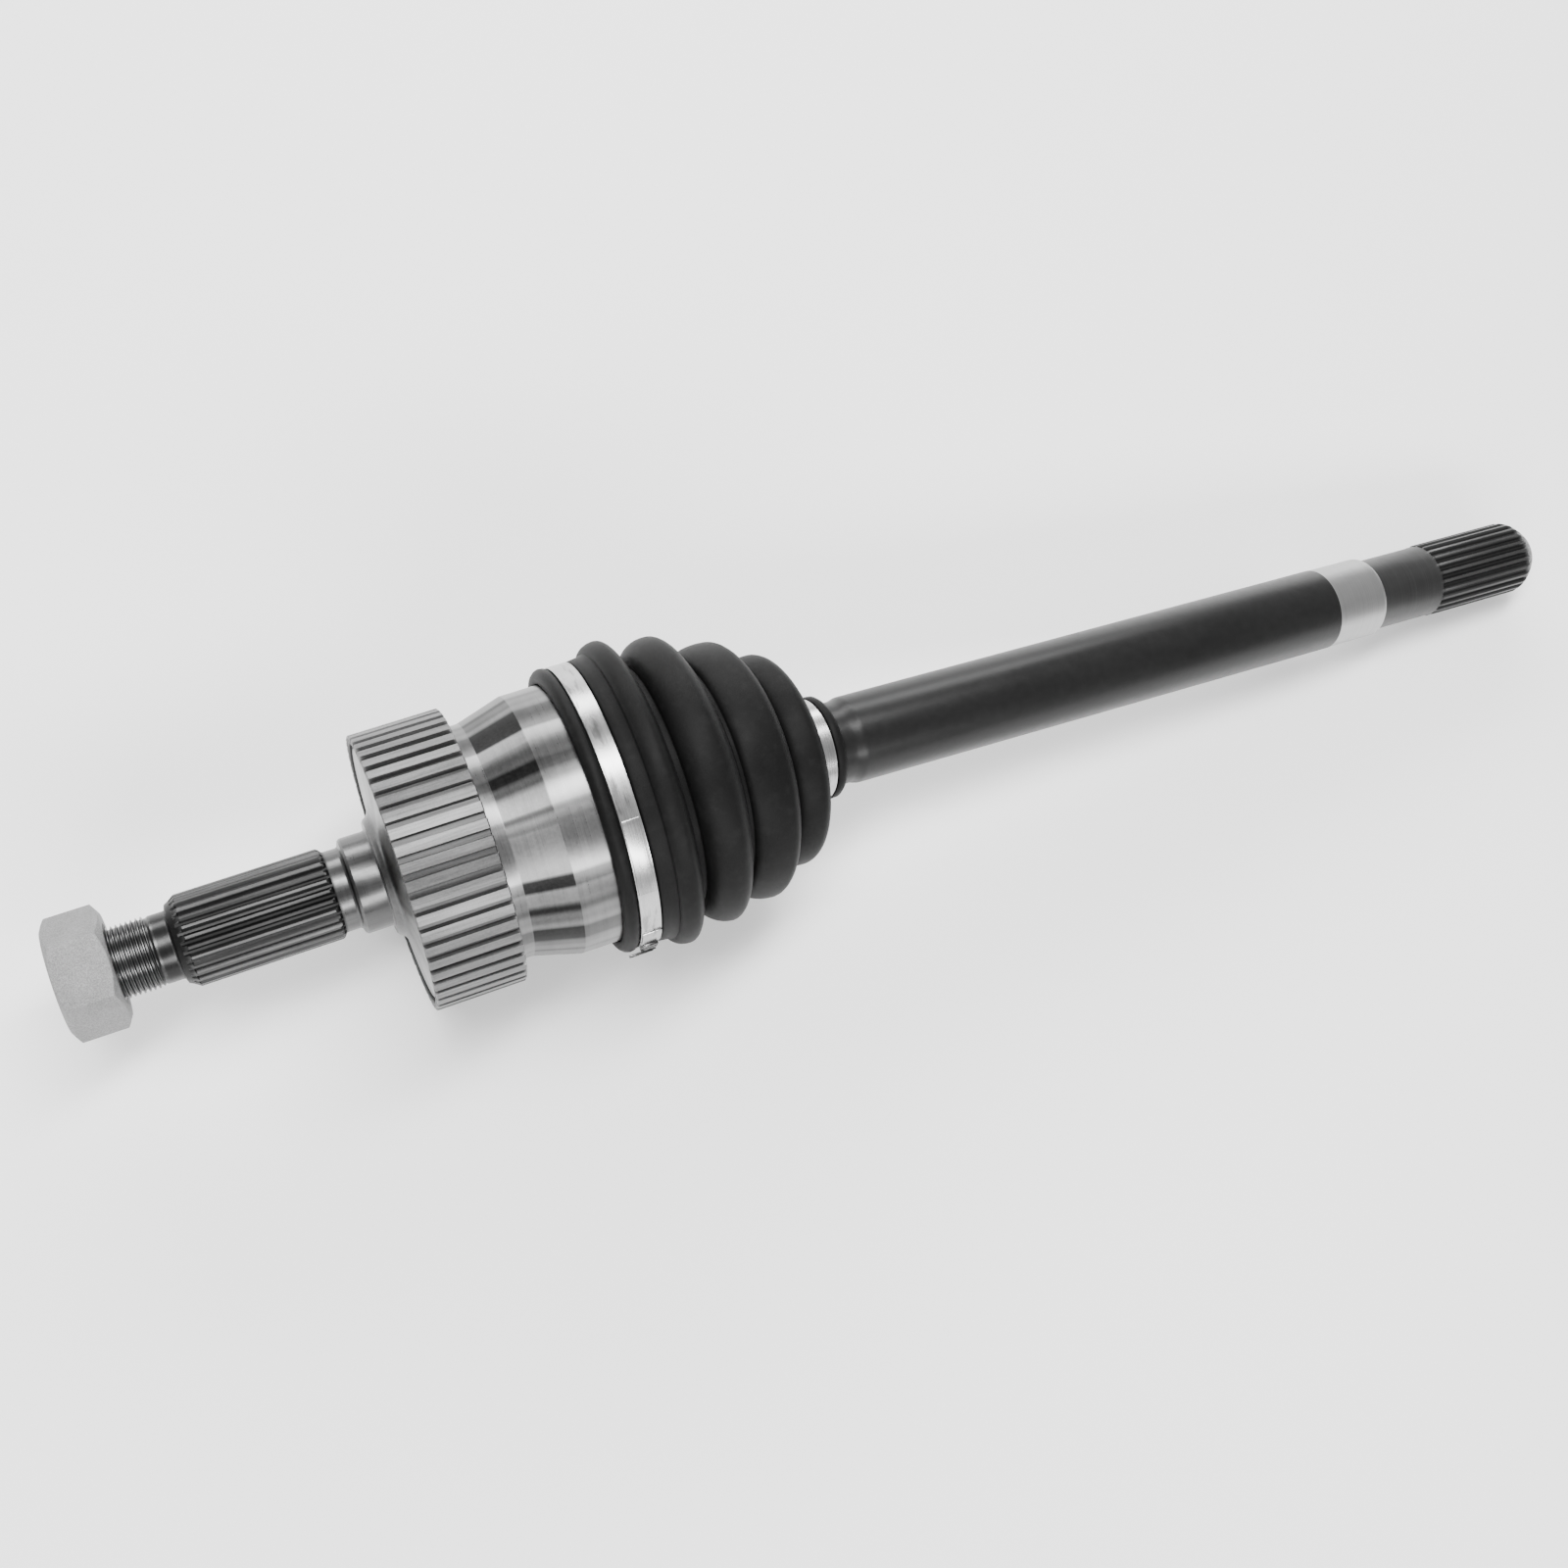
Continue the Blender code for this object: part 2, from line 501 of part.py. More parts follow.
def boot_profile():
    """Outer line from the bell lip to the cuff lip, and the inner line back."""
    groove = LARGE_BAND_RADIUS - LARGE_BAND_THICKNESS - GAP
    cuff_groove = SMALL_BAND_RADIUS - SMALL_BAND_THICKNESS - GAP
    band_from = LARGE_BAND_FROM - GAP
    band_to = LARGE_BAND_FROM + LARGE_BAND_WIDTH + GAP
    cuff_from = SMALL_BAND_FROM - GAP
    cuff_to = SMALL_BAND_FROM + SMALL_BAND_WIDTH + GAP
    lip_end = cuff_to + CUFF_LIP_WIDTH
    outer = [
        (BOOT_LIP_FROM, BOOT_LIP_RADIUS - 2.2),
        (BOOT_LIP_FROM + 1.6, BOOT_LIP_RADIUS),
        (band_from - 0.4, BOOT_LIP_RADIUS),
        (band_from, groove),
        (band_to, groove),
        (band_to + 0.3, LARGE_BAND_RADIUS - 0.5),
        (band_to + FIRST_STEP_LENGTH, LARGE_BAND_RADIUS + 0.9),
    ]
    inner = [(band_to + FIRST_STEP_LENGTH, LARGE_BAND_RADIUS + 0.9 - BOOT_WALL)]
    for number, (along, radius, before, behind) in enumerate(CRESTS):
        hump = [
            (along - 0.75 * before, radius - 0.34 * FOLD_DEPTH),
            (along, radius),
            (along + 0.75 * behind, radius - 0.34 * FOLD_DEPTH),
        ]
        if number == 0:
            hump[0] = (along - 0.75 * before, radius - 0.1 * FOLD_DEPTH)
        outer += hump
        inner += [(place, size - BOOT_WALL) for place, size in hump]
        if number < len(VALLEYS):
            outer.append(VALLEYS[number])
            inner.append((VALLEYS[number][0], VALLEYS[number][1] - BOOT_WALL))
    last_along, last_radius, _, last_width = CRESTS[-1]
    last_fold = last_along + last_width
    shoulder = [
        (last_fold, last_radius - FOLD_DEPTH),
        ((last_fold + cuff_from) / 2, (last_radius - FOLD_DEPTH + cuff_groove) / 2 - 0.2),
        (cuff_from, cuff_groove + 2.0),
    ]
    outer += shoulder
    outer += [
        (cuff_from, cuff_groove),
        (cuff_to, cuff_groove),
        (cuff_to + 0.3, CUFF_LIP_RADIUS),
        (lip_end - 1.2, CUFF_LIP_RADIUS),
        (lip_end, CUFF_LIP_RADIUS - 1.4),
        (lip_end, bore_for(CUFF_SEAT_RADIUS)),
    ]
    inner += [
        (last_fold - 1.6, last_radius - FOLD_DEPTH - BOOT_WALL),
        (cuff_from - 4.4, bore_for(CUFF_SEAT_RADIUS) + 3.6),
        (cuff_from - 2.2, bore_for(CUFF_SEAT_RADIUS)),
    ]
    seat = bore_for(BELL_RADIUS)
    return outer + inner[::-1] + [(BELL_MOUTH + GAP, seat), (BOOT_LIP_FROM, seat)]


def make_boot(parent, bend):
    """The boot is straight with the bell up to its first crest and with the bar from the cuff on."""
    bm = turned(boot_profile(), ROUND, closed=True)
    first = CRESTS[0][0] + 0.75 * CRESTS[0][3]
    for vert in bm.verts:
        share = min(max((vert.co.x - first) / (FLEX_END - first), 0.0), 1.0)
        share = share * share * (3 - 2 * share)
        vert.co = Matrix.Rotation((share - 0.5) * bend, 3, "Y") @ vert.co
    return add_object("boot", bm, parent, ((0.03, 0.03, 0.03), 0.55, 0.0))


def empty(name, place, tilt, parent=None):
    made = bpy.data.objects.new(name, None)
    made.empty_display_size = 0.03
    bpy.context.collection.objects.link(made)
    made.parent = parent
    made.location = place
    made.rotation_euler = (0.0, tilt, 0.0)
    return made


def resting_tilts():
    """The axle lies on the tone ring's back edge, the boot's first crest and the end of the bar."""
    crest_along, crest_radius = CRESTS[0][:2]
    crest_flat = crest_radius * math.cos(math.pi / ROUND)
    bell_tilt = math.atan2(crest_flat - TONE_RADIUS, crest_along - TONE_FROM)
    height = TONE_RADIUS * math.cos(bell_tilt) - TONE_FROM * math.sin(bell_tilt)
    end_along = BAR_FULL_TO + GROUND_WIDTH + INNER_NECK_LENGTH + INNER_SPLINE_LENGTH - END_CHAMFER_LENGTH
    end_radius = INNER_SPLINE_RADIUS
    reach = math.hypot(end_along, end_radius)
    bar_tilt = math.asin(height / reach) - math.atan2(end_radius, end_along)
    return bell_tilt, bar_tilt, height


def bounds():
    graph = bpy.context.evaluated_depsgraph_get()
    low = Vector((1e9, 1e9, 1e9))
    high = -low
    for obj in bpy.data.objects:
        if obj.type != "MESH" or obj.hide_render:
            continue
        shape = obj.evaluated_get(graph)
        for vert in shape.data.vertices:
            place = shape.matrix_world @ vert.co
            low = Vector(map(min, low, place))
            high = Vector(map(max, high, place))
    return low, high


def main():
    clear_scene()
    bell_tilt, bar_tilt, height = resting_tilts()
    bend = bell_tilt + bar_tilt
    middle = bar_tilt - bend / 2
    centre = empty("joint_centre", (0.0, 0.0, height * MM), 0.0)
    bell = empty("bell_axis", (0, 0, 0), -bell_tilt, centre)
    cage = empty("cage_axis", (0, 0, 0), middle, centre)
    bar = empty("bar_axis", (0, 0, 0), bar_tilt, centre)
    make_housing(bell)
    make_tone_ring(bell)
    make_nut(bell)
    make_band(
        "boot_clamp_large", bell, LARGE_BAND_FROM, LARGE_BAND_WIDTH, LARGE_BAND_RADIUS,
        LARGE_BAND_THICKNESS, LARGE_EAR, LARGE_EAR_TURN,
    )
    make_cage(cage)
    make_balls(cage)
    make_boot(cage, bend)
    make_race(bar)
    make_shaft(bar)
    race_half = RACE_WIDTH / 2
    make_snap_ring("race_circlip", bar, -race_half - GAP - SNAP_RING_WIDTH, math.radians(150))
    make_snap_ring("race_stop_ring", bar, race_half + GAP, math.radians(40))
    make_band(
        "boot_clamp_small", bar, SMALL_BAND_FROM, SMALL_BAND_WIDTH, SMALL_BAND_RADIUS,
        SMALL_BAND_THICKNESS, SMALL_EAR, SMALL_EAR_TURN,
    )
    bpy.context.view_layer.update()
    low, high = bounds()
    centre.location.x -= (low.x + high.x) / 2
    centre.location.z -= low.z
    bpy.context.view_layer.update()
    low, high = bounds()
    print("size", [round(value * 1000, 2) for value in high - low])
    print("low", [round(value * 1000, 2) for value in low])
    print("joint centre", [round(value, 6) for value in centre.location])
    print("tilts", round(math.degrees(bell_tilt), 4), round(math.degrees(bar_tilt), 4))


main()
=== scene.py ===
import json
import math
import bpy
import bmesh
from mathutils import Matrix, Vector


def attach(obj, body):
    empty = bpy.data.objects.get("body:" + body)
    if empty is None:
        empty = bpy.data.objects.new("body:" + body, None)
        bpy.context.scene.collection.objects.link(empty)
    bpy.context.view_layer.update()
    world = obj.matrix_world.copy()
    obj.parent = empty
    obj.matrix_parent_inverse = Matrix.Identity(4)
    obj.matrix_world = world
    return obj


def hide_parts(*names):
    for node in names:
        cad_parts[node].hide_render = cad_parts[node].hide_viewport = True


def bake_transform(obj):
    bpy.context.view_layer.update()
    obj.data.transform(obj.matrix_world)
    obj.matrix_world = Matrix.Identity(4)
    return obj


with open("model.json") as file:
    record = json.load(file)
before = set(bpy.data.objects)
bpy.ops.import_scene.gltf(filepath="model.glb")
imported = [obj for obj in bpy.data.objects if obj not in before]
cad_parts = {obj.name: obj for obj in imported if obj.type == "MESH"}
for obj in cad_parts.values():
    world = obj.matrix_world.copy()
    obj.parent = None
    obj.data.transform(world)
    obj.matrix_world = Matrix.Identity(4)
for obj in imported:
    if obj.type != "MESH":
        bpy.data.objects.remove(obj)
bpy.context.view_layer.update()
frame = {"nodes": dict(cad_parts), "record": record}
mm = 0.001
joints = {joint["name"]: joint for joint in frame["record"]["behaviour"]["joints"]}
jointPlace = Vector(joints["cage_bend"]["pos_m"])
bellTilt = math.radians(-3.9808)  # nut end down
barTilt = math.radians(4.9512)  # spline end down
restBend = barTilt - bellTilt
straightTilt = (barTilt + bellTilt) / 2


# pieces are drawn in millimetres along the axle from the joint centre, then tipped into place
def deselectAll():
    if bpy.context.mode != "OBJECT":
        bpy.ops.object.mode_set(mode="OBJECT")
    bpy.ops.object.select_all(action="DESELECT")


def onlySelect(piece):
    deselectAll()
    piece.select_set(True)
    bpy.context.view_layer.objects.active = piece


def nameIt(name):
    piece = bpy.context.active_object
    piece.name = name
    piece.data.name = name
    return piece


def applyStep(piece, kind, **settings):
    onlySelect(piece)
    step = piece.modifiers.new(kind.title(), kind)
    for key, value in settings.items():
        setattr(step, key, value)
    bpy.ops.object.modifier_apply(modifier=step.name)


def bevelEdges(piece, width, segments=2, angle=28):
    applyStep(
        piece, "BEVEL", width=width * mm, segments=segments, limit_method="ANGLE",
        angle_limit=math.radians(angle), harden_normals=False,
    )


def smooth(piece, angle=32):
    onlySelect(piece)
    bpy.ops.object.shade_smooth_by_angle(angle=math.radians(angle))


def turnPiece(name, profile, steps, closed=False):
    # a line of points (along, radius) drawn in the XZ plane and spun round the axle
    deselectAll()
    along, radius = profile[0]
    bpy.ops.mesh.primitive_plane_add(size=mm, location=(along * mm, 0, radius * mm))
    piece = nameIt(name)
    bpy.ops.object.transform_apply(location=True, rotation=True, scale=True)
    bpy.ops.object.mode_set(mode="EDIT")
    bpy.ops.mesh.select_all(action="SELECT")
    bpy.ops.mesh.merge(type="CENTER")
    last = profile[0]
    for point in profile[1:]:
        move = ((point[0] - last[0]) * mm, 0, (point[1] - last[1]) * mm)
        bpy.ops.mesh.extrude_region_move(TRANSFORM_OT_translate={"value": move})
        last = point
    bpy.ops.mesh.select_all(action="SELECT")
    if closed:
        bm = bmesh.from_edit_mesh(piece.data)
        ends = [vert for vert in bm.verts if len(vert.link_edges) == 1]
        for vert in bm.verts:
            vert.select_set(vert in ends)
        bm.select_flush(False)
        bmesh.update_edit_mesh(piece.data)
        bpy.ops.mesh.edge_face_add()
        bpy.ops.mesh.select_all(action="SELECT")
    bpy.ops.mesh.spin(steps=steps, angle=math.tau, center=(0, 0, 0), axis=(1, 0, 0))
    bpy.ops.mesh.select_all(action="SELECT")
    bpy.ops.mesh.remove_doubles(threshold=0.000004)
    bpy.ops.mesh.normals_make_consistent(inside=False)
    bpy.ops.object.mode_set(mode="OBJECT")
    return piece


def pullInwards(piece, rows, chosen, low, high, tip, depth, every=8):
    # rows of a spun ring are picked by their number and scaled towards the axle
    onlySelect(piece)
    bpy.ops.object.mode_set(mode="EDIT")
    bpy.ops.mesh.select_all(action="DESELECT")
    bm = bmesh.from_edit_mesh(piece.data)
    spacing = math.tau / rows
    for vert in bm.verts:
        place = vert.co / mm
        radius = math.hypot(place.y, place.z)
        row = round(math.atan2(place.y, place.z) / spacing) % rows
        vert.select_set(low <= place.x <= high and radius > tip - 0.05 and row % every in chosen)
    bm.select_flush(False)
    bmesh.update_edit_mesh(piece.data)
    ratio = (tip - depth) / tip
    bpy.ops.transform.resize(value=(1, ratio, ratio), center_override=(0, 0, 0))
    bpy.ops.object.mode_set(mode="OBJECT")


def tilt(piece, angle):
    # tips a finished piece about the joint centre and leaves its object unturned at the origin
    onlySelect(piece)
    piece.rotation_euler = (0, angle, 0)
    piece.location = jointPlace
    bpy.ops.object.transform_apply(location=True, rotation=True, scale=True)


def boxPiece(name, size, place, turn):
    # a small block, turned round the axle; turn runs from the top towards -Y
    deselectAll()
    bpy.ops.mesh.primitive_cube_add(size=mm, location=[value * mm for value in place])
    piece = nameIt(name)
    piece.scale = size
    bpy.ops.object.transform_apply(location=True, rotation=True, scale=True)
    piece.rotation_euler = (turn, 0, 0)
    bpy.ops.object.transform_apply(location=True, rotation=True, scale=True)
    return piece


def joinPieces(name, pieces):
    onlySelect(pieces[0])
    for piece in pieces[1:]:
        piece.select_set(True)
    bpy.context.view_layer.objects.active = pieces[0]
    bpy.ops.object.join()
    return nameIt(name)


class Wire:
    def __init__(self, look, socket):
        self.look = look
        self.socket = socket

    def sum(self, kind, first, second):
        return self.look.node("ShaderNodeMath", {"operation": kind}, {0: first, 1: second})[0]

    def __add__(self, other):
        return self.sum("ADD", self, other)

    def __radd__(self, other):
        return self.sum("ADD", other, self)

    def __sub__(self, other):
        return self.sum("SUBTRACT", self, other)

    def __rsub__(self, other):
        return self.sum("SUBTRACT", other, self)

    def __mul__(self, other):
        return self.sum("MULTIPLY", self, other)

    def __rmul__(self, other):
        return self.sum("MULTIPLY", other, self)

    def __pow__(self, other):
        return self.sum("POWER", self, other)


class Look:
    def __init__(self, name):
        self.material = bpy.data.materials.new(name)
        self.material.use_nodes = True
        self.tree = self.material.node_tree
        self.shader = self.tree.nodes["Principled BSDF"]

    def put(self, socket, value):
        if isinstance(value, Wire):
            self.tree.links.new(value.socket, socket)
        elif isinstance(value, (tuple, list)) and len(value) == 3 and socket.type == "RGBA":
            socket.default_value = (*value, 1)
        else:
            socket.default_value = value

    def node(self, kind, settings, values):
        made = self.tree.nodes.new(kind)
        for key, value in settings.items():
            if key == "stops":
                while len(made.color_ramp.elements) < len(value):
                    made.color_ramp.elements.new(0.5)
                for stop, (place, shade) in zip(made.color_ramp.elements, value):
                    stop.position = place
                    stop.color = (shade, shade, shade, 1)
            else:
                setattr(made, key, value)
        for key, value in values.items():
            self.put(made.inputs[key], value)
        return [Wire(self, socket) for socket in made.outputs]

    def finish(self, **values):
        for key, value in values.items():
            self.put(self.shader.inputs[key.replace("_", " ")], value)
        return self.material

    def place(self, angle, scale=(1, 1, 1)):
        # Object coordinates measured from the joint centre along one of the tilted axes
        spot = self.node("ShaderNodeTexCoord", {}, {})[3]
        spot = self.node(
            "ShaderNodeMapping", {"vector_type": "TEXTURE"},
            {"Vector": spot, "Location": jointPlace, "Rotation": (0, angle, 0)},
        )[0]
        if scale == (1, 1, 1):
            return spot
        return self.node("ShaderNodeMapping", {"vector_type": "POINT"}, {"Vector": spot, "Scale": scale})[0]

    def split(self, vector):
        return self.node("ShaderNodeSeparateXYZ", {}, {"Vector": vector})

    def noise(self, vector, scale, detail=3.0, roughness=0.55):
        values = {"Vector": vector, "Scale": scale, "Detail": detail, "Roughness": roughness}
        return self.node("ShaderNodeTexNoise", {}, values)[0]

    def ramp(self, value, *stops):
        return self.node("ShaderNodeValToRGB", {"stops": stops}, {"Fac": value})[0]

    def step(self, value, low, high):
        # 0 below low, 1 above high, both in millimetres
        values = {"Value": value, "From Min": low * mm, "From Max": high * mm}
        return self.node("ShaderNodeMapRange", {"interpolation_type": "SMOOTHSTEP"}, values)[0]

    def between(self, value, low, high, soft):
        return self.step(value, low - soft, low + soft) * (1 - self.step(value, high - soft, high + soft))

    def mix(self, share, first, second):
        return self.node("ShaderNodeMix", {"data_type": "RGBA"}, {0: share, 6: first, 7: second})[2]

    def radius(self, parts):
        return (parts[1] * parts[1] + parts[2] * parts[2]) ** 0.5

    def bump(self, height, strength, distance):
        values = {"Height": height, "Strength": strength, "Distance": distance * mm}
        return self.node("ShaderNodeBump", {}, values)[0]


def dress(piece, material):
    piece.data.materials.clear()
    piece.data.materials.append(material)


shot = {
    "place": (-0.27833, -0.19709, 0.72148),
    "turn": (20.551, -11.907, -21.888),
    "lens": 48.243,
    "floor": (0.95, 0.95, 0.95),
    "room": 0.5,
}
lamps = [  # name, place, width and depth, watts
    ("topBox", (-0.1, 0.25, 1.5), (1.8, 0.35), 46),
    ("frontBox", (-0.3, -1.3, 0.8), (1.8, 0.3), 34),
    ("backBox", (0.2, 1.3, 0.6), (1.8, 0.4), 30),
]


def setUpShot():
    camera = bpy.data.objects.new("camera", bpy.data.cameras.new("camera"))
    bpy.context.collection.objects.link(camera)
    camera.location = shot["place"]
    camera.rotation_euler = [math.radians(value) for value in shot["turn"]]
    camera.data.lens = shot["lens"]
    camera.data.sensor_width = 36
    camera.data.clip_start = 0.01
    bpy.context.scene.camera = camera
    deselectAll()
    bpy.ops.mesh.primitive_plane_add(size=8, location=(0, 0, 0))
    floor = nameIt("floor")
    paper = Look("palePaper")
    dress(floor, paper.finish(Base_Color=shot["floor"], Roughness=0.9))
    world = bpy.data.worlds.new("softRoom")
    bpy.context.scene.world = world
    world.use_nodes = True
    world.node_tree.nodes["Background"].inputs[0].default_value = (1, 1, 1, 1)
    world.node_tree.nodes["Background"].inputs[1].default_value = shot["room"]
    for name, place, size, power in lamps:
        light = bpy.data.lights.new(name, "AREA")
        light.shape = "RECTANGLE"
        light.size, light.size_y = size
        light.energy = power
        lamp = bpy.data.objects.new(name, light)
        bpy.context.collection.objects.link(lamp)
        lamp.location = place
        lamp.rotation_euler = (Vector((0, 0, 0)) - Vector(place)).to_track_quat("-Z", "Y").to_euler()


setUpShot()
print("camera, floor and light are set")


bellSizes = {
    "threadFrom": -161.6, "threadTo": -131.0, "threadRadius": 12.0, "threadPitch": 1.6, "threadDepth": 0.95,
    "neckRadius": 11.5, "splineFrom": -125.4, "splineTo": -72.9, "splineRadius": 15.5, "splineDepth": 1.35,
    "teeth": 28, "journalFrom": -67.0, "shoulder": -57.4, "journalRadius": 16.4,
    "stubNeck": 13.8, "flangeRadius": 44.1, "flangeTo": -43.3,
    "backRadius": 40.8, "radius": 45.4, "mouth": 24.0, "coneFrom": -17.8, "coneTo": -1.8,
    "cavity": 33.0, "ballCircle": 30.0, "trackRadius": 10.9, "tracks": 6, "trackBack": -43, "trackFront": 38,
}


def makeBell():
    size = bellSizes
    tip = size["splineRadius"]
    root = size["threadRadius"] - size["threadDepth"]
    start, thread = size["threadFrom"], size["threadTo"]
    first, last = size["splineFrom"], size["splineTo"]
    shoulder, journal = size["shoulder"], size["journalFrom"]
    neck, seat, flange = size["stubNeck"], size["journalRadius"], size["flangeRadius"]
    profile = [
        (start + 2.4, 0.0), (start + 0.2, 2.4), (start, 2.8), (start, root - 0.5), (start + 0.8, root),
        (thread - 0.8, root), (thread, size["neckRadius"]), (first - 0.5, size["neckRadius"]),
        (first - 0.1, size["neckRadius"] + 0.2), (first, size["neckRadius"] + 0.7),
        (first + 0.4, tip - 2.2), (first + 2.0, tip - 1.35), (first + 3.6, tip - 0.25), (first + 4.0, tip),
        (last - 1.6, tip), (last - 0.9, tip - 0.4), (last, neck + 0.1), (last + 0.6, neck),
        (journal - 1.2, neck), (journal - 0.6, neck + 0.3), (journal, seat - 0.6), (journal + 0.8, seat),
        (shoulder - 1.2, seat), (shoulder - 0.4, seat + 0.2), (shoulder, seat + 0.7),
        (shoulder, 19.2), (shoulder + 0.5, 19.9), (shoulder + 1.6, 20.6),
        (-55.0, 21.6), (-54.4, 23.2), (-54.0, 25.6), (-53.7, 28.4), (-53.4, 32.0), (-52.9, 40.0),
        (-52.6, flange - 1.0), (-52.3, flange - 0.4), (-51.6, flange),
        (size["flangeTo"], flange), (size["flangeTo"], size["backRadius"]),
        (-23.0, size["backRadius"]), (size["coneFrom"] - 0.6, size["backRadius"]),
        (size["coneFrom"] + 0.5, size["backRadius"] + 0.15), (size["coneTo"] - 0.5, size["radius"] - 0.18),
        (size["coneTo"] + 0.2, size["radius"]), (size["mouth"] - 0.8, size["radius"]),
        (size["mouth"], size["radius"] - 0.8), (size["mouth"], size["radius"] - 4.0),
    ]
    for number in range(14):  # the round inside that the cage turns in
        turn = math.radians(18.5 - 76.5 * number / 13)
        profile.append((size["cavity"] * math.sin(turn), size["cavity"] * math.cos(turn)))
    profile.append((profile[-1][0], 0.0))
    rows = 8 * size["teeth"]
    bell = turnPiece("bellAndStub", profile, rows)
    low, high = first + 1.9, last - 0.8
    pullInwards(bell, rows, (4, 5, 3), low, high, tip, size["splineDepth"])
    pullInwards(bell, rows, (2, 6), low, high, tip, size["splineDepth"] * 0.72)
    for place, drop in ((first + 3.6, 0.25), (last - 0.9, 0.4)):  # the teeth's run-out ends
        pullInwards(bell, rows, (3, 4, 5), place - 0.1, place + 0.1, tip - drop, size["splineDepth"] - drop)
    for number in range(size["tracks"]):
        cutTrack(bell, size, math.tau * number / size["tracks"])
    smooth(bell, 24)
    thread = makeThread(size, root)
    bell = joinPieces("bellAndStub", [bell, thread])
    tilt(bell, bellTilt)
    return bell


def cutTrack(bell, size, turn):
    # a round groove for one ball, on an arc about the joint centre
    deselectAll()
    bpy.ops.mesh.primitive_circle_add(
        vertices=24, radius=size["trackRadius"] * mm, fill_type="NGON",
        location=(0, 0, size["ballCircle"] * mm), rotation=(0, math.radians(90), 0),
    )
    groove = nameIt("ballGroove")
    bpy.ops.object.transform_apply(location=True, rotation=True, scale=True)
    groove.rotation_euler = (0, math.radians(size["trackBack"]), 0)
    bpy.ops.object.transform_apply(location=True, rotation=True, scale=True)
    bpy.ops.object.mode_set(mode="EDIT")
    bpy.ops.mesh.select_all(action="SELECT")
    sweep = math.radians(size["trackBack"] - size["trackFront"])
    bpy.ops.mesh.spin(steps=12, angle=sweep, center=(0, 0, 0), axis=(0, 1, 0))
    bpy.ops.mesh.select_all(action="SELECT")
    bpy.ops.mesh.normals_make_consistent(inside=False)
    bpy.ops.object.mode_set(mode="OBJECT")
    groove.rotation_euler = (turn, 0, 0)
    bpy.ops.object.transform_apply(location=True, rotation=True, scale=True)
    applyStep(bell, "BOOLEAN", object=groove, operation="DIFFERENCE", solver="EXACT")
    bpy.data.objects.remove(groove)


def makeThread(size, root):
    # one triangular ridge wound along the stub
    deselectAll()
    bpy.ops.mesh.primitive_plane_add(size=mm, location=((size["threadFrom"] + 1.0) * mm, 0, root * mm))
    thread = nameIt("stubThread")
    bpy.ops.object.transform_apply(location=True, rotation=True, scale=True)
    bpy.ops.object.mode_set(mode="EDIT")
    bpy.ops.mesh.select_all(action="SELECT")
    bpy.ops.mesh.merge(type="CENTER")
    pitch, sunk = size["threadPitch"], 0.3
    bpy.ops.transform.translate(value=(0, 0, -sunk * mm))
    rise = size["threadDepth"] + sunk
    for along, up in [(pitch * 0.34, rise), (pitch * 0.12, 0.0), (pitch * 0.34, -rise)]:
        bpy.ops.mesh.extrude_region_move(TRANSFORM_OT_translate={"value": (along * mm, 0, up * mm)})
    bpy.ops.mesh.select_all(action="SELECT")
    bpy.ops.object.mode_set(mode="OBJECT")
    turns = int((size["threadTo"] - size["threadFrom"] - 1.0) / pitch)
    applyStep(
        thread, "SCREW", axis="X", steps=64, render_steps=64, iterations=turns,
        screw_offset=pitch * mm, use_merge_vertices=True, merge_threshold=0.000001, use_smooth_shade=True,
    )
    for vert in thread.data.vertices:
        fade = (size["threadTo"] - 0.4 - vert.co.x / mm) / pitch  # the last turn runs out
        if fade < 1:
            radius = math.hypot(vert.co.y, vert.co.z) / mm
            ratio = min(1, (root - sunk + max(fade, 0) ** 0.5 * rise) / radius)
            vert.co = (vert.co.x, vert.co.y * ratio, vert.co.z * ratio)
    onlySelect(thread)
    bpy.ops.object.mode_set(mode="EDIT")
    bpy.ops.mesh.select_all(action="SELECT")
    bpy.ops.mesh.remove_doubles(threshold=0.000001)
    bpy.ops.mesh.normals_make_consistent(inside=False)
    bpy.ops.object.mode_set(mode="OBJECT")
    smooth(thread, 30)
    return thread


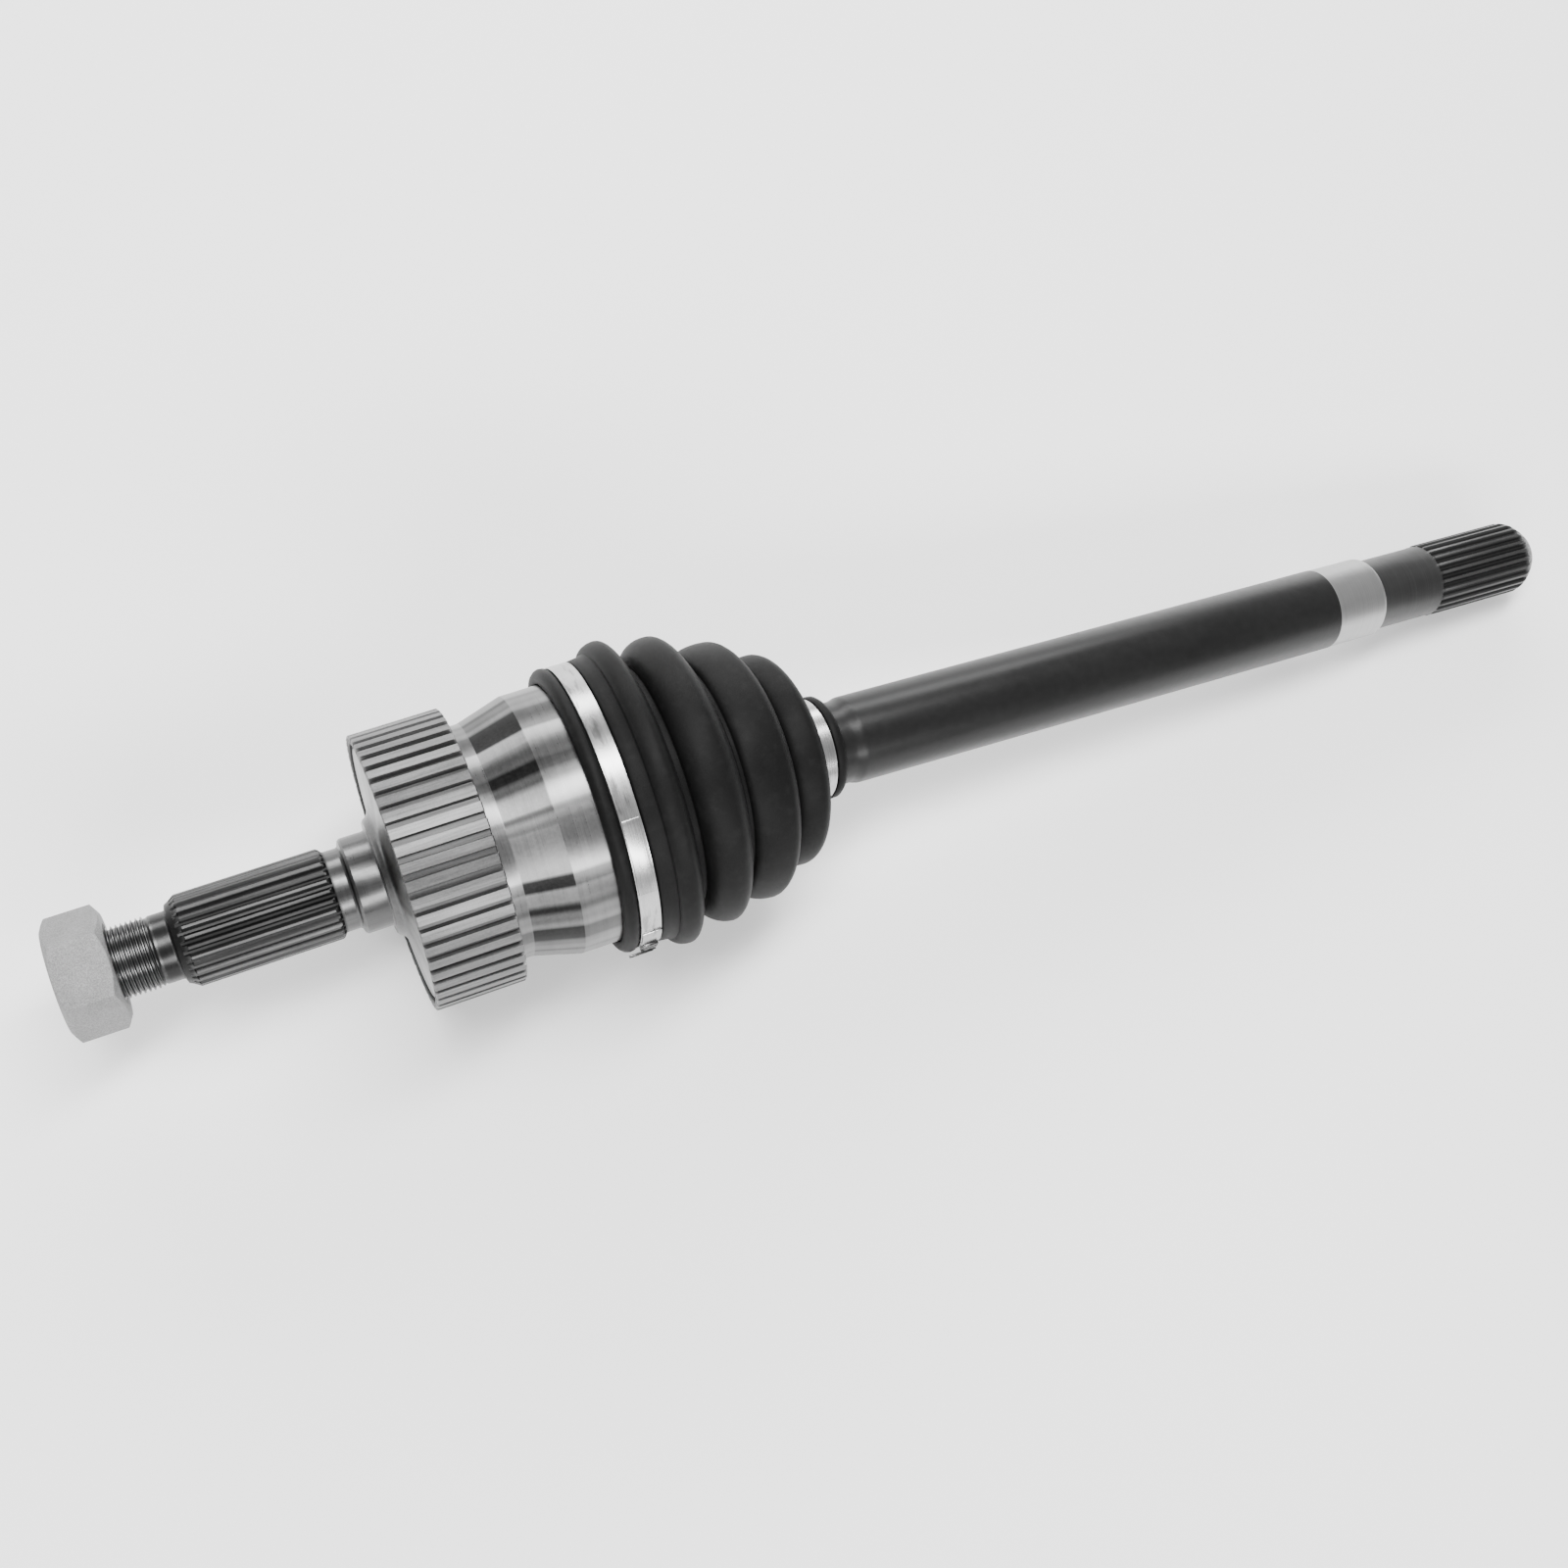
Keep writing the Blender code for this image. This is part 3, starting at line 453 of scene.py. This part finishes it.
def bellLook():
    size = bellSizes
    look = Look("turnedBellSteel")
    spot = look.place(bellTilt)
    parts = look.split(spot)
    along, radius = parts[0], look.radius(parts)
    rings = look.noise(look.place(bellTilt, (2600, 16, 16)), 1.0, 2.0)
    coarse = look.noise(look.place(bellTilt, (420, 5, 5)), 1.0, 2.0)
    speck = look.noise(spot, 900.0, 4.0, 0.7)
    cloud = look.noise(spot, 60.0, 3.0)
    streak = look.noise(look.place(bellTilt, (40, 900, 900)), 1.0, 3.0, 0.6)
    across = look.place(bellTilt, (0, 1, 1))
    about = look.node("ShaderNodeVectorMath", {"operation": "NORMALIZE"}, {0: across})[0]
    paintedReflectionBands = look.ramp(look.noise(about, 4.6, 1.0), (0.45, 0.0), (0.54, 1.0))  # painted dark reflection bands round the bell
    spline = look.between(along, size["splineFrom"] - 0.6, size["splineTo"] + 0.4, 0.6)
    thread = 1 - look.step(along, size["threadTo"] - 0.4, size["threadTo"] + 1.4)
    neck = look.between(along, size["threadTo"] + 0.4, size["splineFrom"] - 0.4, 0.6)
    journal = look.between(along, size["splineTo"], size["shoulder"] + 3.0, 0.8)
    cone = look.between(along, size["coneFrom"], size["coneTo"], 0.15)
    # painted shade: the spline roots are coloured darker, which leaves the tooth tips as a painted highlight
    root = 1 - look.step(radius, size["splineRadius"] - 1.15, size["splineRadius"] - 0.2)
    # painted highlight: the thread crests are coloured lighter than the thread grooves
    crest = look.step(radius, size["threadRadius"] - 0.45, size["threadRadius"] - 0.05)
    # the painted dark reflection bands darken the bell's colour, most strongly on the cone
    bright = (0.02 + 0.05 * rings + 0.16 * cloud + 0.05 * coarse + 0.04 * speck) * (0.45 + 0.55 * paintedReflectionBands)
    shade = look.mix(cone, bright, bright * (0.08 + 0.72 * paintedReflectionBands + 0.2 * speck))
    shade = look.mix(journal, shade, 0.01 + 0.08 * cloud + 0.07 * streak)
    shade = look.mix(neck, shade, 0.005 + 0.05 * cloud)
    shade = look.mix(thread, shade, 0.015 + 0.09 * crest + 0.06 * cloud)
    # the phosphate oxide tone, darkened in the spline roots as painted shade
    oxideAndRootShade = (0.012 + 0.05 * streak + 0.03 * cloud + 0.02 * speck) * (1 - 0.6 * root)
    shade = look.mix(spline, shade, oxideAndRootShade)
    rough = 0.2 + 0.12 * rings + 0.1 * cone + 0.14 * spline + 0.08 * speck
    height = rings * 0.6 + 0.5 * coarse + 0.4 * speck
    return look.finish(
        Base_Color=shade, Metallic=1.0, Roughness=rough, Normal=look.bump(height, 0.12, 0.2),
    )


bell = makeBell()
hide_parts("outer_joint_housing")
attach(bell, "outer_joint")
dress(bell, bellLook())
print("bell and stub are made")


toneSizes = {
    "from": -53.4, "to": -22.7, "radius": 47.8, "teeth": 52, "depth": 1.7,
    "seat": 41.2, "rim": 44.9, "step": -42.9,
}


def makeToneRing():
    size = toneSizes
    profile = [
        (size["from"], size["rim"] + 0.3), (size["from"], size["radius"] - 0.4),
        (size["from"] + 0.3, size["radius"]), (size["to"] - 0.4, size["radius"]),
        (size["to"], size["radius"] - 0.5), (size["to"], size["seat"]),
        (size["step"], size["seat"]), (size["step"], size["rim"]), (size["from"] + 0.4, size["rim"]),
    ]
    rows = 16 * size["teeth"]
    ring = turnPiece("toneRing", profile, rows, closed=True)
    low, high = size["from"] - 0.1, size["to"] + 0.1
    pullInwards(ring, rows, (0, 1, 2, 3, 4, 5), low, high, size["radius"] - 0.6, size["depth"], every=16)
    smooth(ring, 26)
    tilt(ring, bellTilt)
    return ring


def toneLook():
    look = Look("machinedToneRing")
    spot = look.place(bellTilt)
    radius = look.radius(look.split(spot))
    # painted shade: the tooth grooves are coloured darker than the lands
    groove = 1 - look.step(radius, toneSizes["radius"] - 1.9, toneSizes["radius"] - 0.6)
    speck = look.noise(spot, 1400.0, 3.0, 0.7)
    scrape = look.noise(look.place(bellTilt, (60, 1500, 1500)), 1.0, 2.0)
    cloud = look.noise(spot, 50.0, 2.0)
    bare = 0.005 + 0.08 * speck + 0.12 * scrape + 0.06 * cloud
    shade = look.mix(groove, bare, bare * 0.62)
    rough = 0.36 + 0.12 * speck + 0.1 * groove
    return look.finish(
        Base_Color=shade, Metallic=0.92, Roughness=rough, Normal=look.bump(speck + scrape, 0.18, 0.2),
    )


toneRing = makeToneRing()
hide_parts("abs_tone_ring")
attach(toneRing, "outer_joint")
dress(toneRing, toneLook())
print("tone ring is made")


nutSizes = {"outer": -163.5, "inner": -144.7, "flats": 36.0, "turn": -17.5, "bore": 12.35}


def makeNut():
    size = nutSizes
    corner = size["flats"] / 2 / math.cos(math.pi / 6)
    deselectAll()
    length = size["inner"] - size["outer"]
    middle = (size["inner"] + size["outer"]) / 2
    bpy.ops.mesh.primitive_cylinder_add(
        vertices=6, radius=corner * mm, depth=length * mm, location=(middle * mm, 0, 0),
        rotation=(0, math.radians(90), 0),
    )
    nut = nameIt("axleNut")
    bpy.ops.object.transform_apply(location=True, rotation=True, scale=True)
    nut.rotation_euler = (math.radians(30 + size["turn"]), 0, 0)
    bpy.ops.object.transform_apply(location=True, rotation=True, scale=True)
    circle = size["flats"] / 2 - 0.7
    drop = (corner - circle) * math.tan(math.radians(30))
    cone = [
        (size["outer"] - 1, 0), (size["outer"] - 1, circle - 1), (size["outer"], circle),
        (size["outer"] + drop, corner), (size["outer"] + drop + 1, corner + 2),
        (size["inner"] - drop - 1, corner + 2), (size["inner"] - drop, corner), (size["inner"], circle),
        (size["inner"] + 1, circle - 1), (size["inner"] + 1, 0),
    ]
    envelope = turnPiece("nutCones", cone, 192)
    applyStep(nut, "BOOLEAN", object=envelope, operation="INTERSECT", solver="EXACT")
    bore = size["bore"]
    hole = [
        (size["outer"] - 2, 0), (size["outer"] - 2, bore + 3.4), (size["outer"] + 1.4, bore),
        (size["inner"] - 1.4, bore), (size["inner"] + 2, bore + 3.4), (size["inner"] + 2, 0),
    ]
    drill = turnPiece("nutDrill", hole, 96)
    applyStep(nut, "BOOLEAN", object=drill, operation="DIFFERENCE", solver="EXACT")
    bpy.data.objects.remove(envelope)
    bpy.data.objects.remove(drill)
    bevelEdges(nut, 0.35, 3, 20)
    smooth(nut, 30)
    tilt(nut, bellTilt)
    return nut


def nutLook():
    look = Look("phosphatedNut")
    spot = look.place(bellTilt)
    speck = look.noise(spot, 2200.0, 4.0, 0.75)
    cloud = look.noise(spot, 120.0, 4.0, 0.6)
    grain = look.ramp(speck, (0.38, 0.0), (0.62, 1.0))
    shade = 0.08 + 0.12 * grain + 0.1 * cloud
    return look.finish(
        Base_Color=shade, Metallic=0.45, Roughness=0.45 + 0.16 * speck,
        Normal=look.bump(speck, 0.35, 0.3),
    )


nut = makeNut()
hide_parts("axle_nut")
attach(nut, "nut")
dress(nut, nutLook())
print("nut is made")


bootSizes = {
    "wall": 2.0, "lip": 50.3, "lipFrom": 11.0, "bandFrom": 15.8, "bandTo": 23.5, "groove": 48.35,
    "rolls": [  # along, radius, width before and behind the crest
        (34.3, 53.9, 5.2, 5.2), (51.8, 51.0, 9.8, 5.6), (71.3, 46.2, 11.8, 5.8), (86.5, 38.2, 8.0, 5.5),
    ],
    "valleys": [42.5, 40.5, 34.5], "split": 58.5, "lastFlank": 30.5,
    "cuffFrom": 97.7, "cuffTo": 103.3, "cuffGroove": 17.0, "cuffLip": 18.7, "cuffEnd": 107.3,
    "bellSeat": 45.75, "barSeat": 15.35, "flexFrom": 38.2, "flexTo": 76.0, "rows": 160,
    "bendFrom": 23, "bendTo": 95,
}


def rollPoints(roll, left, right, count=20):
    # half an ellipse standing on the valleys at its two sides
    along, radius, before, behind = roll
    points = []
    for number in range(count + 1):
        turn = math.pi * number / count
        low, half = (left, before) if turn < math.pi / 2 else (right, behind)
        points.append((along - half * math.cos(turn), low + (radius - low) * math.sin(turn)))
    return points


def bootHalf(name, outer, inner):
    piece = turnPiece(name, outer + inner[::-1], bootSizes["rows"], closed=True)
    first, last = bootSizes["flexFrom"], bootSizes["flexTo"]
    for vert in piece.data.vertices:
        share = min(max((vert.co.x / mm - first) / (last - first), 0), 1)
        share = share * share * (3 - 2 * share)
        turned = Matrix.Rotation(bellTilt + share * restBend, 3, "Y") @ vert.co
        vert.co = turned + jointPlace
    smooth(piece, 50)
    return piece


def makeBoot():
    size = bootSizes
    rolls, valleys, wall = size["rolls"], size["valleys"], size["wall"]
    mouth = [
        (size["lipFrom"], size["bellSeat"] + 0.4), (size["lipFrom"], size["lip"] - 2.6),
        (size["lipFrom"] + 0.5, size["lip"] - 1.2), (size["lipFrom"] + 1.5, size["lip"] - 0.3),
        (size["lipFrom"] + 2.6, size["lip"]), (size["bandFrom"] - 0.9, size["lip"] - 0.2),
        (size["bandFrom"] - 0.3, size["lip"] - 0.7), (size["bandFrom"], size["groove"]),
        (size["bandTo"], size["groove"]), (size["bandTo"] + 0.2, 49.5), (size["bandTo"] + 0.7, 49.9),
        (26.4, 50.1), (28.2, 50.4),
    ]
    wide = rollPoints(rolls[0], 50.8, valleys[0]) + rollPoints(rolls[1], valleys[0], valleys[1])
    wide.append((size["split"], valleys[1] - 0.3))
    inner = [
        (size["lipFrom"] + 0.4, size["bellSeat"]), (24.3, size["bellSeat"]), (24.5, 47.4), (28.2, 47.8),
    ]
    inner += [(along, radius - wall) for along, radius in wide]
    frontHalf = bootHalf("bootWide", mouth + wide, inner)
    narrow = [(size["split"], valleys[1] - 0.3)] + rollPoints(rolls[2], valleys[1], valleys[2])
    narrow += rollPoints(rolls[3], valleys[2], size["lastFlank"])
    cuff = [
        (93.2, 26.0), (95.3, 21.5), (96.6, 19.4), (size["cuffFrom"], 18.6),
        (size["cuffFrom"], size["cuffGroove"]), (size["cuffTo"], size["cuffGroove"]),
        (size["cuffTo"] + 0.2, 18.3),
        (size["cuffTo"] + 0.9, size["cuffLip"]), (size["cuffEnd"] - 1.4, size["cuffLip"] - 0.1),
        (size["cuffEnd"] - 0.4, size["cuffLip"] - 0.9), (size["cuffEnd"], size["barSeat"] + 1.0),
        (size["cuffEnd"] - 0.3, size["barSeat"]),
    ]
    inner = [(along, radius - wall) for along, radius in narrow[:-1]]
    inner += [(89.6, 28.0), (92.4, 20.0), (94.8, size["barSeat"])]
    backHalf = bootHalf("bootNarrow", narrow + cuff, inner)
    return frontHalf, backHalf


def rubberLook():
    look = Look("mouldedBootRubber")
    spot = look.node("ShaderNodeTexCoord", {}, {})[3]
    speck = look.noise(spot, 1800.0, 4.0, 0.7)
    cloud = look.noise(spot, 45.0, 4.0, 0.6)
    dust = look.ramp(look.noise(spot, 260.0, 3.0), (0.5, 0.0), (0.8, 1.0))
    shade = 0.002 + 0.004 * cloud + 0.003 * speck + 0.003 * dust
    rough = 0.40 + 0.12 * cloud + 0.08 * speck
    return look.finish(
        Base_Color=shade, Metallic=0.0, Roughness=rough,
        Normal=look.bump(speck + cloud * 0.5, 0.22, 0.3), Specular_IOR_Level=0.07,
    )


bootWide, bootNarrow = makeBoot()
rubber = rubberLook()
for half in (bootWide, bootNarrow):
    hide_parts("boot")
    dress(half, rubber)
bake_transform(bootWide)
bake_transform(bootNarrow)
print("boot is made")


clampSizes = {
    "largeFrom": 16.1, "largeTo": 23.2, "largeIn": 48.65, "largeOut": 49.9, "largeTurn": 93,
    "smallFrom": 98.0, "smallTo": 103.0, "smallIn": 17.4, "smallOut": 18.2, "smallTurn": 108,
}


def bandRing(name, low, high, inside, outside):
    profile = [
        (low, inside), (low, outside - 0.2), (low + 0.2, outside), (high - 0.2, outside),
        (high, outside - 0.2), (high, inside),
    ]
    return turnPiece(name, profile, 160, closed=True)


def lapStrip(name, low, high, radius, thick, first, last):
    # the free end of the strip lying on the turn below it
    middle, width = (low + high) / 2, high - low
    strip = boxPiece(name, (width, 0.6, thick), (middle, 0, radius + thick / 2), math.radians(first))
    onlySelect(strip)
    bpy.ops.object.mode_set(mode="EDIT")
    bpy.ops.mesh.select_all(action="DESELECT")
    bm = bmesh.from_edit_mesh(strip.data)
    away = Vector((0, -math.cos(math.radians(first)), -math.sin(math.radians(first))))
    for face in bm.faces:
        face.select_set(face.normal.dot(away) > 0.9)
    bmesh.update_edit_mesh(strip.data)
    steps = max(4, int(abs(last - first) / 2))
    bpy.ops.mesh.spin(steps=steps, angle=math.radians(last - first), center=(0, 0, 0), axis=(1, 0, 0))
    bpy.ops.mesh.select_all(action="SELECT")
    bpy.ops.mesh.remove_doubles(threshold=0.000004)
    bpy.ops.mesh.normals_make_consistent(inside=False)
    bpy.ops.object.mode_set(mode="OBJECT")
    return strip


def makeLargeClamp():
    size = clampSizes
    low, high, out, turn = size["largeFrom"], size["largeTo"], size["largeOut"], size["largeTurn"]
    middle = (low + high) / 2
    pieces = [bandRing("largeBand", low, high, size["largeIn"], out)]
    pieces.append(lapStrip("largeLap", low + 0.5, high - 0.5, out - 0.05, 0.45, turn - 38, turn - 7))
    pieces.append(lapStrip("crimpFoot", low + 0.2, high - 0.2, out - 0.05, 0.7, turn - 4, turn + 6))
    for number in range(3):
        rib = turn - 2.2 + 3.0 * number
        pieces.append(boxPiece("crimpRib", (4.6, 1.2, 1.6), (middle, 0, out + 0.9), math.radians(rib)))
    hook = math.radians(turn + 9)
    pieces.append(boxPiece("hookStem", (5.2, 1.2, 2.4), (middle, 0, out + 0.9), hook))
    pieces.append(boxPiece("hookTip", (8.2, 3.0, 1.0), (middle - 2.8, 0.6, out + 1.9), hook))
    for piece in pieces[1:]:
        bevelEdges(piece, 0.22, 2, 40)
    for piece in pieces:
        smooth(piece, 35)
    clamp = joinPieces("largeClamp", pieces)
    tilt(clamp, bellTilt)
    return clamp


def makeSmallClamp():
    size = clampSizes
    low, high, out, turn = size["smallFrom"], size["smallTo"], size["smallOut"], size["smallTurn"]
    middle = (low + high) / 2
    pieces = [bandRing("smallBand", low, high, size["smallIn"], out)]
    pieces.append(lapStrip("smallLap", low + 0.3, high - 0.3, out - 0.04, 0.35, turn - 70, turn - 12))
    ear = math.radians(turn)
    pieces.append(boxPiece("earLeft", (4.2, 0.8, 2.6), (middle, -2.0, out + 0.9), ear))
    pieces.append(boxPiece("earRight", (4.2, 0.8, 2.6), (middle, 2.0, out + 0.9), ear))
    pieces.append(boxPiece("earTop", (4.2, 4.6, 0.8), (middle, 0, out + 2.0), ear))
    for piece in pieces[2:]:
        bevelEdges(piece, 0.25, 3, 40)
    for piece in pieces:
        smooth(piece, 35)
    clamp = joinPieces("smallClamp", pieces)
    tilt(clamp, barTilt)
    return clamp


def bandLook(name, angle, out):
    look = Look(name)
    spot = look.place(angle)
    raised = look.step(look.radius(look.split(spot)), out + 0.5, out + 0.9)  # crimp and hook
    brush = look.noise(look.place(angle, (3000, 30, 30)), 1.0, 2.0)
    smear = look.noise(spot, 90.0, 4.0, 0.6)
    scratch = look.ramp(look.noise(look.place(angle, (500, 90, 90)), 1.0, 3.0), (0.56, 0.0), (0.66, 1.0))
    shade = 0.26 + 0.14 * brush + 0.2 * smear - 0.16 * scratch
    shade = shade * (1 - 0.72 * raised)
    return look.finish(
        Base_Color=shade, Metallic=1.0, Roughness=0.16 + 0.14 * smear + 0.08 * brush,
        Normal=look.bump(brush + 2 * smear, 0.12, 0.2),
    )


largeClamp = makeLargeClamp()
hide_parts("boot_clamp_large")
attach(largeClamp, "outer_joint")
smallClamp = makeSmallClamp()
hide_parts("boot_clamp_small")
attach(smallClamp, "axle_bar")
dress(largeClamp, bandLook("brightBand", bellTilt, clampSizes["largeOut"]))
dress(smallClamp, bandLook("brightCuffBand", barTilt, clampSizes["smallOut"]))
print("clamps are made")


barSizes = {
    "radius": 15.85, "groundFrom": 329.5, "groundTo": 352.4, "ground": 15.75, "neck": 14.1,
    "raceSeat": 13.0, "slim": 12.2,
    "splineFrom": 383.4, "splineTo": 437.0, "splineRadius": 14.55, "splineDepth": 1.3, "teeth": 25,
}


def makeBar():
    size = barSizes
    end, tip, neck = size["splineTo"], size["splineRadius"], size["neck"]
    first, groundEnd, seat, slim = size["splineFrom"], size["groundTo"], size["raceSeat"], size["slim"]
    profile = [
        (-14.3, 0.0), (-14.3, seat - 1.0), (-13.3, seat), (-12.9, seat), (-12.9, seat - 1.4),
        (-11.0, seat - 1.4), (-11.0, seat), (11.0, seat), (11.0, seat - 1.4),
        (12.9, seat - 1.4), (12.9, seat), (14.1, seat), (16.3, slim), (60.0, slim),
        (72.0, 15.0), (111.0, 15.0), (112.4, 15.0), (113.4, 15.1), (115.2, 15.6), (116.0, 15.8),
        (117.0, size["radius"]),
        (size["groundFrom"] - 0.3, size["radius"]), (size["groundFrom"], size["ground"]),
        (groundEnd - 1.1, size["ground"]), (groundEnd - 0.5, 15.55), (groundEnd + 0.9, 14.3),
        (groundEnd + 1.6, neck), (first - 2.2, neck), (first - 0.6, neck + 0.1), (first + 0.2, tip),
        (end - 9.5, tip), (end - 7.4, tip - 0.7), (end - 4.6, tip - 2.6), (end - 2.2, tip - 4.6),
        (end - 0.7, tip - 6.2), (end, tip - 7.3), (end, 2.8), (end - 0.3, 2.4), (end - 2.6, 0.0),
    ]
    rows = 8 * size["teeth"]
    bar = turnPiece("axleBar", profile, rows)
    low, high = first + 0.1, end - 9.4
    pullInwards(bar, rows, (3, 4, 5), low, high, tip, size["splineDepth"])
    pullInwards(bar, rows, (2, 6), low, high, tip, size["splineDepth"] * 0.7)
    pullInwards(bar, rows, (3, 4, 5), end - 7.6, end - 7.2, tip - 0.7, 0.6)
    smooth(bar, 24)
    tilt(bar, barTilt)
    return bar


def barLook():
    size = barSizes
    look = Look("paintedBar")
    spot = look.place(barTilt)
    parts = look.split(spot)
    along, radius = parts[0], look.radius(parts)
    peel = look.noise(spot, 340.0, 3.0, 0.5)
    speck = look.noise(spot, 1500.0, 3.0, 0.7)
    cloud = look.noise(look.place(barTilt, (14, 60, 60)), 1.0, 3.0)
    rings = look.noise(look.place(barTilt, (2400, 20, 20)), 1.0, 2.0)
    streak = look.noise(look.place(barTilt, (30, 900, 900)), 1.0, 3.0, 0.6)
    ground = look.between(along, size["groundFrom"], size["groundTo"] + 0.2, 0.25)
    neck = look.between(along, size["groundTo"] + 0.2, size["splineFrom"], 0.3)
    spline = look.step(along, size["splineFrom"] - 0.3, size["splineFrom"] + 0.5)
    nose = look.step(along, size["splineTo"] - 9.4, size["splineTo"] - 7.6)
    # painted shade: the spline roots are coloured darker except on the chamfered nose, which leaves the
    # tooth tips as a painted highlight
    root = 1 - look.step(radius, size["splineRadius"] - 1.1, size["splineRadius"] - 0.15)
    paint = 0.003 + 0.006 * cloud + 0.004 * peel
    # the oxide tone, darkened in the spline roots as painted shade
    oxideAndRootShade = (0.03 + 0.06 * streak + 0.04 * speck) * (1 - 0.6 * root * (1 - nose))
    shade = look.mix(ground, paint, 0.28 + 0.16 * rings + 0.12 * cloud)
    shade = look.mix(neck, shade, 0.03 + 0.03 * rings + 0.03 * cloud)
    shade = look.mix(spline, shade, oxideAndRootShade + 0.03 * nose)
    metal = 0.05 + 0.95 * ground + 0.85 * neck + 0.85 * spline
    rough = 0.26 + 0.10 * peel + 0.08 * cloud + 0.06 * neck + 0.06 * spline
    height = peel * (1 - ground) + 0.4 * rings * (ground + neck) + 0.3 * speck
    return look.finish(
        Base_Color=shade, Metallic=metal, Roughness=rough, Specular_IOR_Level=0.22,
        Normal=look.bump(height, 0.12, 0.3),
    )


bar = makeBar()
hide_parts("axle_shaft")
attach(bar, "axle_bar")
dress(bar, barLook())
print("bar is made")


innerSteels = {  # these pieces keep their CAD shapes: grey, roughness, tilt of the turning marks
    "ball_cage": (0.30, 0.34, straightTilt),
    "inner_race": (0.52, 0.26, barTilt),
    "race_circlip": (0.34, 0.36, barTilt),
    "race_stop_ring": (0.34, 0.36, barTilt),
}


def innerLook(name, shade, rough, angle):
    look = Look(name)
    grind = look.noise(look.place(angle, (1800, 60, 60)), 1.0, 3.0)
    oil = look.noise(look.place(angle), 90.0, 3.0)
    tone = shade * (0.8 + 0.3 * grind) * (0.85 + 0.3 * oil)
    return look.finish(
        Base_Color=tone, Metallic=1.0, Roughness=rough + 0.15 * oil - 0.05 * grind,
        Normal=look.bump(grind, 0.1, 0.2),
    )


for node, (shade, rough, angle) in innerSteels.items():
    dress(frame["nodes"][node], innerLook(node + "Steel", shade, rough, angle))
ballSteel = innerLook("ballSteel", 0.72, 0.06, straightTilt)
for number in range(1, 7):
    dress(frame["nodes"][f"steel_ball_{number}"], ballSteel)
print("inner pieces are dressed")
